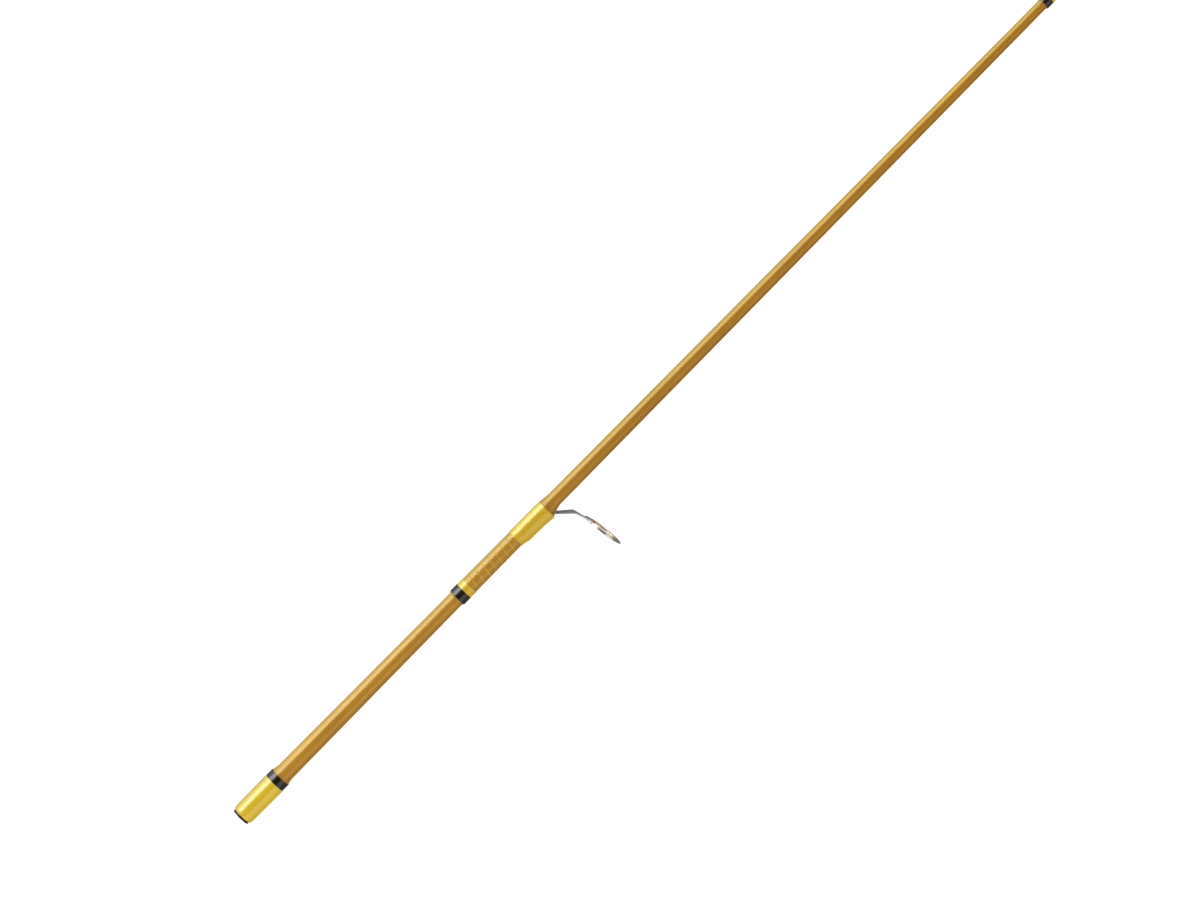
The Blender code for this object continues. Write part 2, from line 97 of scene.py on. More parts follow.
def shade(tree, kind, feeds=None, **settings):
    return addNode(tree, "ShaderNode" + kind, feeds, **settings)


def geo(tree, kind, feeds=None, **settings):
    return addNode(tree, "GeometryNode" + kind, feeds, **settings)


def calc(tree, operation, *values):
    return Term(tree, shade(tree, "Math", dict(enumerate(values)), operation=operation).outputs[0])


def split(tree, vector):
    return named(tree, shade(tree, "SeparateXYZ", {"Vector": vector}).outputs)


def mixColour(tree, share, first, second, way="MIX"):
    return shade(tree, "Mix", {0: share, 6: first, 7: second}, data_type="RGBA", blend_type=way).outputs[2]


def remap(tree, value, low, high, toLow=0.0, toHigh=1.0, **settings):
    feeds = {"Value": value, "From Min": low, "From Max": high, "To Min": toLow, "To Max": toHigh}
    return Term(tree, shade(tree, "MapRange", feeds, **settings).outputs[0])


def objectPlace(tree):
    return shade(tree, "TexCoord").outputs["Object"]


def readMark(tree, label):
    # a number that the mesh carries on its points
    return Term(tree, shade(tree, "Attribute", attribute_name=label).outputs["Fac"])


def noise(tree, place, scale, detail, span, roughness=0.5):
    feeds = {"Vector": place, "Scale": scale, "Detail": detail, "Roughness": roughness}
    return remap(tree, shade(tree, "TexNoise", feeds).outputs["Fac"], *span)


def newTree(name, kind, inputs, outputs):
    # an input is given by its default, or by its type's name where it has none
    kinds = {float: "Float", int: "Int", bool: "Bool", tuple: "Color"}
    tree = bpy.data.node_groups.new(name, kind)
    for label, value in inputs.items():
        socketType = "NodeSocket" + kinds.get(type(value), str(value))
        socket = tree.interface.new_socket(label, in_out="INPUT", socket_type=socketType)
        if not isinstance(value, str):
            socket.default_value = value
    for label, socketType in outputs.items():
        tree.interface.new_socket(label, in_out="OUTPUT", socket_type="NodeSocket" + socketType)
    given = named(tree, tree.nodes.new("NodeGroupInput").outputs)
    return tree, given, tree.nodes.new("NodeGroupOutput").inputs


# Shader groups that several finishes share

def makeThreadLayGroup():
    # twisted filaments along one thread; GN stores how far along it a point is and where round it
    tree, given, result = newTree(
        "threadLay", "ShaderNodeTree",
        {"Twist Length": 0.0011, "Filaments": 3.0, "Blotch Scale": 260.0},
        {"Strand": "Float", "Painted Crest Light": "Float", "Blotch": "Float"},
    )
    across = readMark(tree, "across")
    turns = readMark(tree, "along") / given["Twist Length"] + across * given["Filaments"]
    wire(tree, result, {
        "Strand": remap(tree, calc(tree, "SINE", turns * math.tau), -1.0, 1.0),
        # high on a thread's outer side and low in the grooves of the winding, where painted shade goes
        "Painted Crest Light": remap(tree, calc(tree, "COSINE", across * math.tau), -0.2, 1.0),
        "Blotch": noise(tree, objectPlace(tree), given["Blotch Scale"], 3.0, (0.3, 0.7)),
    })
    return tree


def makeHandlingGroup():
    # fine scratches along the rod, and soft smudges, as handling leaves on a hard gloss surface
    tree, given, result = newTree(
        "handlingMarks", "ShaderNodeTree",
        {"Scratch Scale": 900.0, "Stretch": 0.06, "Smudge Scale": 90.0},
        {"Scratch": "Float", "Smudge": "Float"},
    )
    place = objectPlace(tree)
    scale = shade(tree, "CombineXYZ", {"X": given["Stretch"], "Y": 1.0, "Z": 1.0})
    stretched = shade(tree, "Mapping", {"Vector": place, "Scale": scale})
    wire(tree, result, {
        "Scratch": noise(tree, stretched, given["Scratch Scale"], 4.0, (0.52, 0.72), 0.6),
        "Smudge": noise(tree, place, given["Smudge Scale"], 5.0, (0.35, 0.7)),
    })
    return tree


cloth = {
    "weftSpacing": 0.0011, "warpThreads": 34.0, "tapePitch": 0.0085, "tapeEdge": 6.0, "tapeHeight": 20.0,
    "fibreStretch": 0.025, "fibreScale": 1500.0, "driftScale": 38.0,
    "fibreTone": 0.45, "driftTone": 0.35, "weaveTone": 0.3, "fade": (0.28, -0.18),
    "weaveRelief": 0.35, "tapeRelief": 0.5,
}


def makeAmberGroup():
    # glass cloth seen through amber resin: lengthwise fibres, a cross weave and slow drifts of depth
    tree, given, result = newTree(
        "amberDepth", "ShaderNodeTree",
        {
            "Light": (0.44, 0.211, 0.012, 1.0), "Deep": (0.315, 0.139, 0.007, 1.0),
            "Weave": 0.5, "Fade Start": 0.13, "Fade End": 0.30,
        },
        {"Color": "Color", "Height": "Float"},
    )
    place = objectPlace(tree)
    parts = split(tree, place)
    angle = calc(tree, "ARCTAN2", parts["Y"], parts["Z"] * -1.0)
    weft = calc(tree, "SINE", parts["X"] * (math.tau / cloth["weftSpacing"]))
    weave = remap(tree, weft * calc(tree, "SINE", angle * cloth["warpThreads"]), -1.0, 1.0)
    drawn = shade(tree, "Mapping", {"Vector": place, "Scale": (cloth["fibreStretch"], 1.0, 1.0)})
    fibre = noise(tree, drawn, cloth["fibreScale"], 3.0, (0.3, 0.7))
    drift = noise(tree, place, cloth["driftScale"], 4.0, (0.3, 0.7), 0.55)
    tone = fibre * cloth["fibreTone"] + drift * cloth["driftTone"]
    tone = tone + weave * given["Weave"] * cloth["weaveTone"]
    fade = remap(tree, parts["X"], given["Fade Start"], given["Fade End"], *cloth["fade"],
                 interpolation_type="SMOOTHSTEP")
    # a low spiral ridge, as the tape leaves that a blank is wound with while it cures
    tape = calc(tree, "FRACT", parts["X"] / cloth["tapePitch"] + angle / math.tau)
    ridge = calc(tree, "POWER", calc(tree, "ABSOLUTE", tape - 0.5), cloth["tapeEdge"]) * cloth["tapeHeight"]
    wire(tree, result, {
        "Color": mixColour(tree, tone + fade, given["Deep"], given["Light"]),
        "Height": weave * cloth["weaveRelief"] + ridge * cloth["tapeRelief"],
    })
    return tree


def makeRoundToneGroup():
    # painted light and shade: the side away from the guides is tinted lighter and yellower as a painted
    # highlight, the side under the guides darker as painted shade
    tree, given, result = newTree(
        "paintedLightShade", "ShaderNodeTree",
        {label: white for label in ("Color", "Painted Light Tint", "Painted Shade Tint")},
        {"Color": "Color"},
    )
    parts = split(tree, objectPlace(tree))
    height = parts["Z"] / calc(tree, "SQRT", parts["Y"] * parts["Y"] + parts["Z"] * parts["Z"])
    colour = given["Color"]
    # by height round the rod: painted light on the top side, painted shade underneath
    for low, high, tint in ((0.60, 0.95, given["Painted Light Tint"]), (-0.02, -0.36, given["Painted Shade Tint"])):
        tinted = mixColour(tree, 1.0, colour, tint, "MULTIPLY")
        colour = mixColour(tree, remap(tree, height, low, high), colour, tinted)
    wire(tree, result, {"Color": colour})
    return tree


threadLay = makeThreadLayGroup()
handlingMarks = makeHandlingGroup()
amberDepth = makeAmberGroup()
paintedLightShade = makeRoundToneGroup()
print("shader groups made")


# Finishes

def newFinish(name, values):
    material = bpy.data.materials.new(name)
    material.use_nodes = True
    tree = material.node_tree
    inputs = tree.nodes["Principled BSDF"].inputs
    wire(tree, inputs, values)
    return material, tree, inputs


def useGroup(tree, group, feeds=None):
    return named(tree, shade(tree, "Group", feeds, node_tree=group).outputs)


# paints light on the top side and shade on the underside of a colour
def tintBySide(tree, colour, paintedLight, paintedShade):
    return useGroup(tree, paintedLightShade, {"Color": colour, "Painted Light Tint": paintedLight, "Painted Shade Tint": paintedShade})["Color"]


def bumpFrom(tree, height, strength, distance):
    return shade(tree, "Bump", {"Height": height, "Strength": strength, "Distance": distance})


threadLook = {
    "roughness": (0.36, 0.48), "strandDepth": 0.00002, "strandStrength": 0.2, "gleam": 0.1,
    # how much the crest lightens a thread over the painted shade in the grooves, and how much the filaments
    # and the blotches lighten it
    "crestLightTone": 0.62, "strandTone": 0.18, "blotchTone": 0.20,
    # colour on a thread's crest, a darker copy for the grooves of the winding as painted shade, and side
    # tints for painted light on top and painted shade underneath; silk is the coloured sheen under the
    # coating, and coat gives the coating's weight, roughness and index of refraction
    "yellow": {"crest": (0.725, 0.515, 0.0185, 1.0), "between": (0.590, 0.385, 0.011, 1.0),
               "paintedLight": (0.92, 0.94, 1.9, 1.0), "paintedShade": white,
               "silk": 0.10, "coat": (1.0, 0.12, 1.58)},
    "yellowDeep": {"crest": (0.645, 0.430, 0.0165, 1.0), "between": (0.500, 0.300, 0.010, 1.0),
                   "paintedLight": (1.05, 1.24, 1.9, 1.0), "paintedShade": (1.0, 1.0, 0.8, 1.0),
                   "silk": 0.10, "coat": (0.92, 0.12, 1.56)},
    "brown": {"crest": (0.470, 0.238, 0.0140, 1.0), "between": (0.350, 0.161, 0.008, 1.0),
              "paintedLight": (1.17, 1.48, 1.0, 1.0), "paintedShade": (0.86, 0.82, 0.5, 1.0),
              "silk": 0.05, "coat": (0.72, 0.13, 1.5)},
    "black": {"crest": (0.0130, 0.0085, 0.0050, 1.0), "between": (0.0060, 0.0038, 0.0024, 1.0),
              "paintedLight": (1.0, 0.8, 0.8, 1.0), "paintedShade": white,
              "silk": 0.0, "coat": (1.0, 0.10, 1.5)},
    "spiral": {"crest": (0.560, 0.350, 0.022, 1.0), "between": (0.430, 0.245, 0.013, 1.0),
               "paintedLight": (1.04, 1.20, 1.0, 1.0), "paintedShade": (0.90, 0.88, 0.6, 1.0),
               "silk": 0.05, "coat": (0.72, 0.13, 1.5)},
}


def makeThreadFinish(name, colourKey):
    look = threadLook
    thread = look[colourKey]
    material, tree, inputs = newFinish(name, {
        **dict(zip(("Coat Weight", "Coat Roughness", "Coat IOR"), thread["coat"])),
        "Metallic": thread["silk"], "Specular IOR Level": look["gleam"],
    })
    lay = useGroup(tree, threadLay)
    fine = lay["Strand"] * look["strandTone"] + lay["Blotch"] * look["blotchTone"]
    # the grooves of the winding get a darker copy of the colour as painted shade
    colour = mixColour(tree, lay["Painted Crest Light"] * look["crestLightTone"] + fine, thread["between"], thread["crest"])
    wire(tree, inputs, {
        # painted light on the top side, painted shade underneath
        "Base Color": tintBySide(tree, colour, thread["paintedLight"], thread["paintedShade"]),
        "Roughness": remap(tree, lay["Strand"], 0.0, 1.0, *look["roughness"]),
        "Normal": bumpFrom(tree, lay["Strand"], look["strandStrength"], look["strandDepth"]),
    })
    return material


amberLook = {
    "weave": 0.5, "roughness": (0.34, 0.46), "bumpDepth": 0.00002, "bumpStrength": 0.12,
    "coatRoughness": 0.14, "coatIor": 1.5, "depthGleam": 0.05, "gleam": 0.1,
    "finishRoughness": (0.32, 0.43), "finishCoatRoughness": 0.10,
    # towards the tip the gloss is duller and the painted light on the top side yellower
    "dullFrom": 0.10, "dullTo": 0.46, "coatWeight": (0.62, 0.30), "paintedLightTip": (1.30, 1.76, 1.0, 1.0),
    # side tints: painted light on the top side, painted shade underneath
    "paintedLight": (1.19, 1.52, 1.0, 1.0), "paintedShade": (0.82, 0.79, 0.5, 1.0),
    # thick clear finish looks darker, and specks show in it; where it is thickest, at a wrap's edge and by a
    # guide's leg, this darkening is also painted shade
    "speckScale": 1500.0, "speckSpan": (0.36, 0.60, 0.15, 1.0), "deepestResinShade": (0.210, 0.095, 0.012, 1.0),
}


def makeAmberFinish(name, roughness, coatRoughness):
    look = amberLook
    material, tree, inputs = newFinish(name, {
        "Coat Roughness": coatRoughness, "Coat IOR": look["coatIor"],
        "Metallic": look["depthGleam"], "Specular IOR Level": look["gleam"],
    })
    place = objectPlace(tree)
    toTip = remap(tree, split(tree, place)["X"], look["dullFrom"], look["dullTo"])
    depth = useGroup(tree, amberDepth, {"Weave": look["weave"]})
    # painted light on the top side, yellower towards the tip, and painted shade underneath
    paintedLight = mixColour(tree, toTip, look["paintedLight"], look["paintedLightTip"])
    colour = tintBySide(tree, depth["Color"], paintedLight, look["paintedShade"])
    # darker where the finish is thick: partly the resin's own depth, partly painted shade at the wrap's edge
    # and by the leg
    resinShadeShare = readMark(tree, "resinDepthShade") * noise(tree, place, look["speckScale"], 2.0, look["speckSpan"])
    marks = useGroup(tree, handlingMarks)
    wire(tree, inputs, {
        "Coat Weight": remap(tree, toTip, 0.0, 1.0, *look["coatWeight"]),
        "Base Color": mixColour(tree, resinShadeShare, colour, look["deepestResinShade"]),
        "Roughness": remap(tree, marks["Smudge"], 0.0, 1.0, *roughness),
        "Normal": bumpFrom(tree, depth["Height"], look["bumpStrength"], look["bumpDepth"]),
    })
    return material


metalLook = {
    "steel": {"clean": (0.80, 0.78, 0.79, 1.0), "dull": (0.64, 0.61, 0.63, 1.0), "roughness": (0.08, 0.20)},
    "gold": {"clean": (0.90, 0.69, 0.40, 1.0), "dull": (0.74, 0.52, 0.27, 1.0), "roughness": (0.06, 0.14)},
    "marks": {"Scratch Scale": 1400.0, "Smudge Scale": 260.0},
    "scratchDepth": 0.000006, "scratchStrength": 0.25,
    # the guides' legs are tumbled, not polished
    "satin": (0.350, 0.315, 0.345, 1.0), "satinRoughness": 0.50,
}


def makeMetalFinish(name, key):
    look = metalLook[key]
    material, tree, inputs = newFinish(name, {"Metallic": 1.0})
    marks = useGroup(tree, handlingMarks, metalLook["marks"])
    satin = readMark(tree, "satin")
    polished = mixColour(tree, marks["Smudge"], look["clean"], look["dull"])
    shine = remap(tree, marks["Smudge"], 0.0, 1.0, *look["roughness"])
    wire(tree, inputs, {
        "Base Color": mixColour(tree, satin, polished, metalLook["satin"]),
        "Roughness": remap(tree, satin, 0.0, 1.0, shine, metalLook["satinRoughness"]),
        "Normal": bumpFrom(tree, marks["Scratch"], metalLook["scratchStrength"], metalLook["scratchDepth"]),
    })
    return material


resinLook = {
    "clean": (0.009, 0.008, 0.008, 1.0), "worn": (0.022, 0.019, 0.017, 1.0), "roughness": (0.40, 0.60),
    "gloss": {"Coat Weight": 0.12, "Coat Roughness": 0.30, "Specular IOR Level": 0.25},
    "marks": {"Scratch Scale": 700.0, "Stretch": 0.6}, "scratchDepth": 0.00001, "scratchStrength": 0.3,
}


def makeResinFinish(name):
    look = resinLook
    material, tree, inputs = newFinish(name, look["gloss"])
    marks = useGroup(tree, handlingMarks, look["marks"])
    wire(tree, inputs, {
        "Base Color": mixColour(tree, marks["Smudge"], look["clean"], look["worn"]),
        "Roughness": remap(tree, marks["Scratch"], 0.0, 1.0, *look["roughness"]),
        "Normal": bumpFrom(tree, marks["Scratch"], look["scratchStrength"], look["scratchDepth"]),
    })
    return material


finishes = {
    "blank": makeAmberFinish("amberBlank", amberLook["roughness"], amberLook["coatRoughness"]),
    "clear": makeAmberFinish("clearFinish", amberLook["finishRoughness"], amberLook["finishCoatRoughness"]),
    "yellow": makeThreadFinish("yellowThread", "yellow"),
    "yellowDeep": makeThreadFinish("yellowGuideThread", "yellowDeep"),
    "brown": makeThreadFinish("brownThread", "brown"),
    "black": makeThreadFinish("blackThread", "black"),
    "spiral": makeThreadFinish("yellowSpiralThread", "spiral"),
    "steel": makeMetalFinish("guideSteel", "steel"),
    "gold": makeMetalFinish("linerGold", "gold"),
    "resin": makeResinFinish("ferruleResin"),
}
print("finishes made:", len(finishes))


# Geometry Nodes

def closeTree(tree, geometry, finish, result):
    # both trees end alike: smooth faces, real geometry, finish
    for kind in ("SetShadeSmooth", "RealizeInstances"):
        geometry = geo(tree, kind, {"Geometry": geometry})
    done = geo(tree, "SetMaterial", {"Geometry": geometry, "Material": finish})
    wire(tree, result, {"Geometry": done})


def storePoints(tree, geometry, label, value, kind="FLOAT"):
    feeds = {"Geometry": geometry, "Name": label, "Value": value}
    return geo(tree, "StoreNamedAttribute", feeds, data_type=kind, domain="POINT")


def makeTaperTree():
    # the blank: a grid bent into a closed tube, outer wall down its first half, bore back up its second
    tree, given, result = newTree(
        "taperedTube", "GeometryNodeTree",
        {
            "Start": 0.0, "End": 1.0, "Tip Diameter": 0.002, "Taper": 0.007, "Ferrule Swell": 0.0,
            "Swell Length": 0.2, "Mouth Wall": 0.001, "Tip Wall": 0.0005,
            "Stations": 120, "Sides": 96, "Finish": "Material",
        },
        {"Geometry": "Geometry"},
    )
    both = given["Stations"] * 2.0
    grid = geo(tree, "MeshGrid", {
        "Size X": 1.0, "Size Y": 1.0, "Vertices X": both + 1.0, "Vertices Y": given["Sides"] + 1.0})
    flat = split(tree, geo(tree, "InputPosition"))
    step = calc(tree, "MODULO", calc(tree, "ROUND", (flat["X"] + 0.5) * both), both)
    isBore = calc(tree, "GREATER_THAN", step, given["Stations"] - 0.5)
    back = both - 1.0 - step * 2.0
    place = (step + isBore * back) / (given["Stations"] - 1.0)
    x = given["Start"] + place * (given["End"] - given["Start"])
    near = calc(tree, "MAXIMUM", 0.0, 1.0 - x / given["Swell Length"])
    across = given["Tip Diameter"] + given["Taper"] * (given["End"] - x)
    outer = (across + given["Ferrule Swell"] * (near * near)) / 2.0
    wall = given["Mouth Wall"] + (given["Tip Wall"] - given["Mouth Wall"]) * (x / given["End"])
    radius = outer - wall * isBore
    angle = (flat["Y"] + 0.5) * math.tau
    bent = shade(tree, "CombineXYZ", {
        "X": x, "Y": radius * calc(tree, "SINE", angle), "Z": radius * (calc(tree, "COSINE", angle) * -1.0)})
    moved = geo(tree, "SetPosition", {"Geometry": grid.outputs["Mesh"], "Position": bent})
    sealed = geo(tree, "MergeByDistance", {"Geometry": moved, "Distance": 0.0000005})
    closeTree(tree, sealed, given["Finish"], result)
    return tree


def makeWindingTree():
    # one thread laid in a helix on whatever sleeve the modifier sits on
    tree, given, result = newTree(
        "threadWinding", "GeometryNodeTree",
        {
            "Sleeve": "Geometry", "Start": 0.0, "Length": 0.01, "Pitch": 0.00024,
            "Thread Width": 0.00026, "Thread Height": 0.00003, "Cast Radius": 0.012,
            "Points Per Turn": 40, "Thread Sides": 6, "Strands": 1, "Strand Step": 0.0003,
            "Keep Sleeve": True, "Finish": "Material",
        },
        {"Geometry": "Geometry"},
    )
    faces = geo(tree, "InputNormal")
    sleeve = storePoints(tree, given["Sleeve"], "outward", faces, "FLOAT_VECTOR")
    helix = geo(tree, "CurveSpiral", {
        "Resolution": given["Points Per Turn"], "Rotations": given["Length"] / given["Pitch"],
        "Start Radius": given["Cast Radius"], "End Radius": given["Cast Radius"], "Height": given["Length"],
    })
    strands = geo(tree, "DuplicateElements", {"Geometry": helix, "Amount": given["Strands"]},
                  domain="SPLINE")
    here = geo(tree, "InputPosition")
    upright = split(tree, here)
    shift = calc(tree, "MULTIPLY", strands.outputs["Duplicate Index"], given["Strand Step"])
    laidFlat = shade(tree, "CombineXYZ", {
        "X": upright["Z"] + given["Start"] + shift, "Y": upright["Y"], "Z": upright["X"] * -1.0})
    turned = geo(tree, "SetPosition", {
        "Geometry": strands.outputs["Geometry"], "Position": laidFlat})
    # rays start well outside the sleeve and run in towards the rod's axis
    source = shade(tree, "VectorMath", {0: here, 1: (1.0, 4.0, 4.0)}, operation="MULTIPLY")
    inward = shade(tree, "VectorMath", {0: here, 1: (0.0, -1.0, -1.0)}, operation="MULTIPLY")
    outward = geo(tree, "InputNamedAttribute", {"Name": "outward"}, data_type="FLOAT_VECTOR")
    cast = geo(tree, "Raycast", {
        "Target Geometry": sleeve, "Source Position": source,
        "Ray Direction": inward, "Ray Length": 1.0, "Attribute": outward,
    }, data_type="FLOAT_VECTOR").outputs
    laid = geo(tree, "SetPosition", {
        "Geometry": turned, "Selection": cast["Is Hit"], "Position": cast["Hit Position"]})
    faced = geo(tree, "SetCurveNormal", {"Curve": laid, "Normal": cast["Attribute"]}, mode="FREE")
    run = geo(tree, "SplineParameter").outputs
    path = storePoints(tree, faced, "along", run["Length"])
    rim = geo(tree, "CurvePrimitiveCircle", {"Resolution": given["Thread Sides"], "Radius": 1.0},
              mode="RADIUS")
    section = storePoints(tree, rim.outputs["Curve"], "across", run["Factor"])
    size = shade(tree, "CombineXYZ", {
        "X": given["Thread Height"], "Y": given["Thread Width"] / 2.0, "Z": 1.0})
    squashed = geo(tree, "Transform", {"Geometry": section, "Scale": size})
    thread = geo(tree, "CurveToMesh", {
        "Curve": path, "Profile Curve": squashed, "Fill Caps": True})
    join = geo(tree, "JoinGeometry")
    for part in (given["Sleeve"], thread):
        wire(tree, join.inputs, {0: part})
    shown = geo(tree, "Switch", {
        "Switch": given["Keep Sleeve"], "False": thread, "True": join,
    }, input_type="GEOMETRY")
    closeTree(tree, shown, given["Finish"], result)
    return tree


taperedTube = makeTaperTree()
threadWinding = makeWindingTree()


def bakeMesh(item):
    bpy.context.view_layer.update()
    graph = bpy.context.evaluated_depsgraph_get()
    plain = bpy.data.meshes.new_from_object(item.evaluated_get(graph))
    item.modifiers.clear()
    item.data = plain
    return item


def runTree(item, tree, values):
    # sets inputs by identifier, then bakes the result into a plain mesh
    modifier = item.modifiers.new(tree.name, "NODES")
    modifier.node_group = tree
    identifiers = {s.name: s.identifier for s in tree.interface.items_tree if s.in_out == "INPUT"}
    for label, value in values.items():
        modifier[identifiers[label]] = value
    return bakeMesh(item)


# Meshes turned or lofted from rings of points

def around(x, angle, radius):
    return Vector((x, radius * math.sin(angle), -radius * math.cos(angle)))


def evenSteps(first, last, count):
    return [first + (last - first) * i / (count - 1) for i in range(count)]


def quarterTurns(steps):
    return [math.pi / 2 * i / steps for i in range(steps + 1)]


def turnAngles(sides):
    return [math.tau * i / sides for i in range(sides)]


def ringMesh(name, rings, closed=True):
    sides = len(rings[0])
    rows = len(rings)
    faces = []
    for row in range(rows if closed else rows - 1):
        here = row * sides
        after = (row + 1) % rows * sides
        for side in range(sides):
            beside = (side + 1) % sides
            faces.append((here + side, here + beside, after + beside, after + side))
    if not closed:
        faces.append(tuple(range(sides)))
        faces.append(tuple(range((rows - 1) * sides, rows * sides)))
    mesh = bpy.data.meshes.new(name)
    mesh.from_pydata([point for ring in rings for point in ring], [], faces)
    build = bmesh.new()
    build.from_mesh(mesh)
    bmesh.ops.recalc_face_normals(build, faces=build.faces[:])
    build.to_mesh(mesh)
    build.free()
    return mesh


def markPoints(mesh, label, values):
    # a number on every point, which readMark reads in a finish
    marks = mesh.attributes.new(label, "FLOAT", "POINT")
    marks.data.foreach_set("value", values)


def newPiece(name, mesh):
    piece = bpy.data.objects.new(name, mesh)
    scene.collection.objects.link(piece)
    return piece


def ringPiece(name, rings, closed=True):
    return newPiece(name, ringMesh(name, rings, closed))


def dress(piece, finish, *nodes, sharpAngle=40.0):
    # last steps for every piece: finish, shading, body, slot and the solid that it stands for
    piece.data.materials.clear()
    piece.data.materials.append(finishes[finish])
    piece.data.shade_smooth()
    piece.data.set_sharp_from_angle(angle=math.radians(sharpAngle))
    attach(piece, "root")
    if nodes:
        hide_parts(*nodes)
    return piece


def leanAxes(lean):
    # along the axis of a ring that leans back about Y, and down across it
    return Vector((math.cos(lean), 0.0, math.sin(lean))), Vector((math.sin(lean), 0.0, -math.cos(lean)))


def turnedRings(profile, sides, centre=(0.0, 0.0, 0.0), lean=0.0):
    # profile of (along, radius); the axis is the rod's, or leans back for a guide's ring
    axis, down = leanAxes(lean)
    aside = Vector((0.0, 1.0, 0.0))
    return [
        [Vector(centre) + axis * along + (down * math.cos(a) + aside * math.sin(a)) * radius
         for a in turnAngles(sides)]
        for along, radius in profile
    ]


# Blank

blank = {
    "length": 0.990, "tipDiameter": 0.00236, "taper": 0.0067, "ferruleSwell": 0.00075, "swellLength": 0.220,
    "mouthWall": 0.00103, "tipWall": 0.00063, "stations": 130, "sides": 96,
}


def blankRadius(x):
    swell = blank["ferruleSwell"] * max(0.0, 1.0 - x / blank["swellLength"]) ** 2
    return (blank["tipDiameter"] + blank["taper"] * (blank["length"] - x) + swell) / 2


def makeBlank():
    piece = newPiece("blank_tube", bpy.data.meshes.new("blank_tube"))
    runTree(piece, taperedTube, {
        "Start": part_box("blank")[0].x, "End": blank["length"], "Tip Diameter": blank["tipDiameter"],
        "Taper": blank["taper"], "Ferrule Swell": blank["ferruleSwell"], "Swell Length": blank["swellLength"],
        "Mouth Wall": blank["mouthWall"], "Tip Wall": blank["tipWall"], "Stations": blank["stations"],
        "Sides": blank["sides"], "Finish": finishes["blank"],
    })
    dress(piece, "blank", "blank")


makeBlank()
print("blank made")


# Thread wraps: a sleeve with eased ends, and the thread laid on it

wraps = {
    "pitch": 0.00024, "threadWidth": 0.00027, "threadHeight": 0.000013, "threadSides": 6,
    "pointsPerMetre": 18000, "fewestPoints": 48, "castRadius": 0.003, "sides": 96, "easeSteps": 7,
    "underGap": 0.00002, "seam": 0.00005, "coating": 0.00018, "bandEase": (0.00018, 0.00018),
}


def easedEnds(start, end, outer, lengths, drops, stations):
    # outer radius along a wrap, rounded down at both ends by quarter ellipses
    turns = [(1.0 - math.cos(t), 1.0 - math.sin(t)) for t in quarterTurns(wraps["easeSteps"])[:-1]]
    places = [(start + lengths[0] * reach, drops[0] * drop) for reach, drop in turns]
    places += [(x, 0.0) for x in evenSteps(start + lengths[0], end - lengths[1], stations)]
    places += [(end - lengths[1] * reach, drops[1] * drop) for reach, drop in reversed(turns)]
    return [(x, lambda angle, x=x, drop=drop: outer(x, angle) - drop) for x, drop in places]


def sleeveMesh(name, places, sides, inner=None):
    inner = inner or (lambda x: blankRadius(x) + wraps["underGap"])
    angles = turnAngles(sides)
    rings = [[around(x, angle, radius(angle)) for angle in angles] for x, radius in places]
    rings += [[around(x, angle, inner(x)) for angle in angles] for x, _ in reversed(places)]
    return ringMesh(name, rings)


def windOn(name, places, finish, node, sides=wraps["sides"], inner=None, changes=None):
    mesh = sleeveMesh(name, places, sides, inner)
    start, end = places[0][0], places[-1][0]
    points = round(wraps["pointsPerMetre"] * max(point.co.y for point in mesh.vertices))
    values = {
        "Start": start + wraps["threadWidth"] / 2, "Length": end - start - wraps["threadWidth"],
        "Pitch": wraps["pitch"], "Thread Width": wraps["threadWidth"], "Thread Height": wraps["threadHeight"],
        "Cast Radius": wraps["castRadius"], "Points Per Turn": max(wraps["fewestPoints"], points),
        "Thread Sides": wraps["threadSides"], "Keep Sleeve": True, "Finish": finishes[finish],
        **(changes or {}),
    }
    dress(runTree(newPiece(name, mesh), threadWinding, values), finish, node, sharpAngle=80.0)


def coatedBuild(node):
    # height of a wrap over the blank, with its coating and without the last thread's own height
    low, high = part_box(node)
    return high.y - blankRadius(low.x) + wraps["coating"] - wraps["threadHeight"]


def windBand(node, finish, lengths=wraps["bandEase"], drops=wraps["bandEase"], stations=4,
             flare=(0.0, 0.0), trim=0.0):
    # a round band over the solid of the same place, closed up to its neighbours, with its coating
    low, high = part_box(node)
    start = low.x - wraps["seam"]
    end = high.x + wraps["seam"] - trim
    build = coatedBuild(node)

    def crest(x, angle):
        return blankRadius(x) + build + flare[0] + (flare[1] - flare[0]) * (x - start) / (end - start)

    windOn(node + "_wound", easedEnds(start, end, crest, lengths, drops, stations), finish, node)


# Clear finish that runs out from a wrap's edge onto the blank

runOuts = {"stations": 18, "sides": 96, "feather": 0.000012, "fall": 1.6, "deepFrom": 0.0012}


def makeRunOut(name, start, end, build, nodes):
    # `start` is the thick end, so a run-out towards the butt has its start above its end;
    # `build` gives its height over the blank there, for each angle
    rings = []
    depthShades = []
    angles = turnAngles(runOuts["sides"])
    places = evenSteps(start, end, runOuts["stations"])
    for i, x in enumerate(places):
        left = (1.0 - i / (len(places) - 1)) ** runOuts["fall"]
        rings.append([around(x, a, blankRadius(x) + runOuts["feather"] + build(a) * left) for a in angles])
        # the mark is highest where the finish is thick, at the wrap's edge and by the leg, and darkens it
        # there, partly as painted shade
        depthShades += [min(1.0, build(a) * left / runOuts["deepFrom"]) for a in angles]
    rings += [[around(x, a, blankRadius(x) - runOuts["feather"]) for a in angles] for x in reversed(places)]
    mesh = ringMesh(name, rings)
    markPoints(mesh, "resinDepthShade", depthShades + [0.0] * len(depthShades))
    dress(newPiece(name, mesh), "clear", *nodes, sharpAngle=75.0)


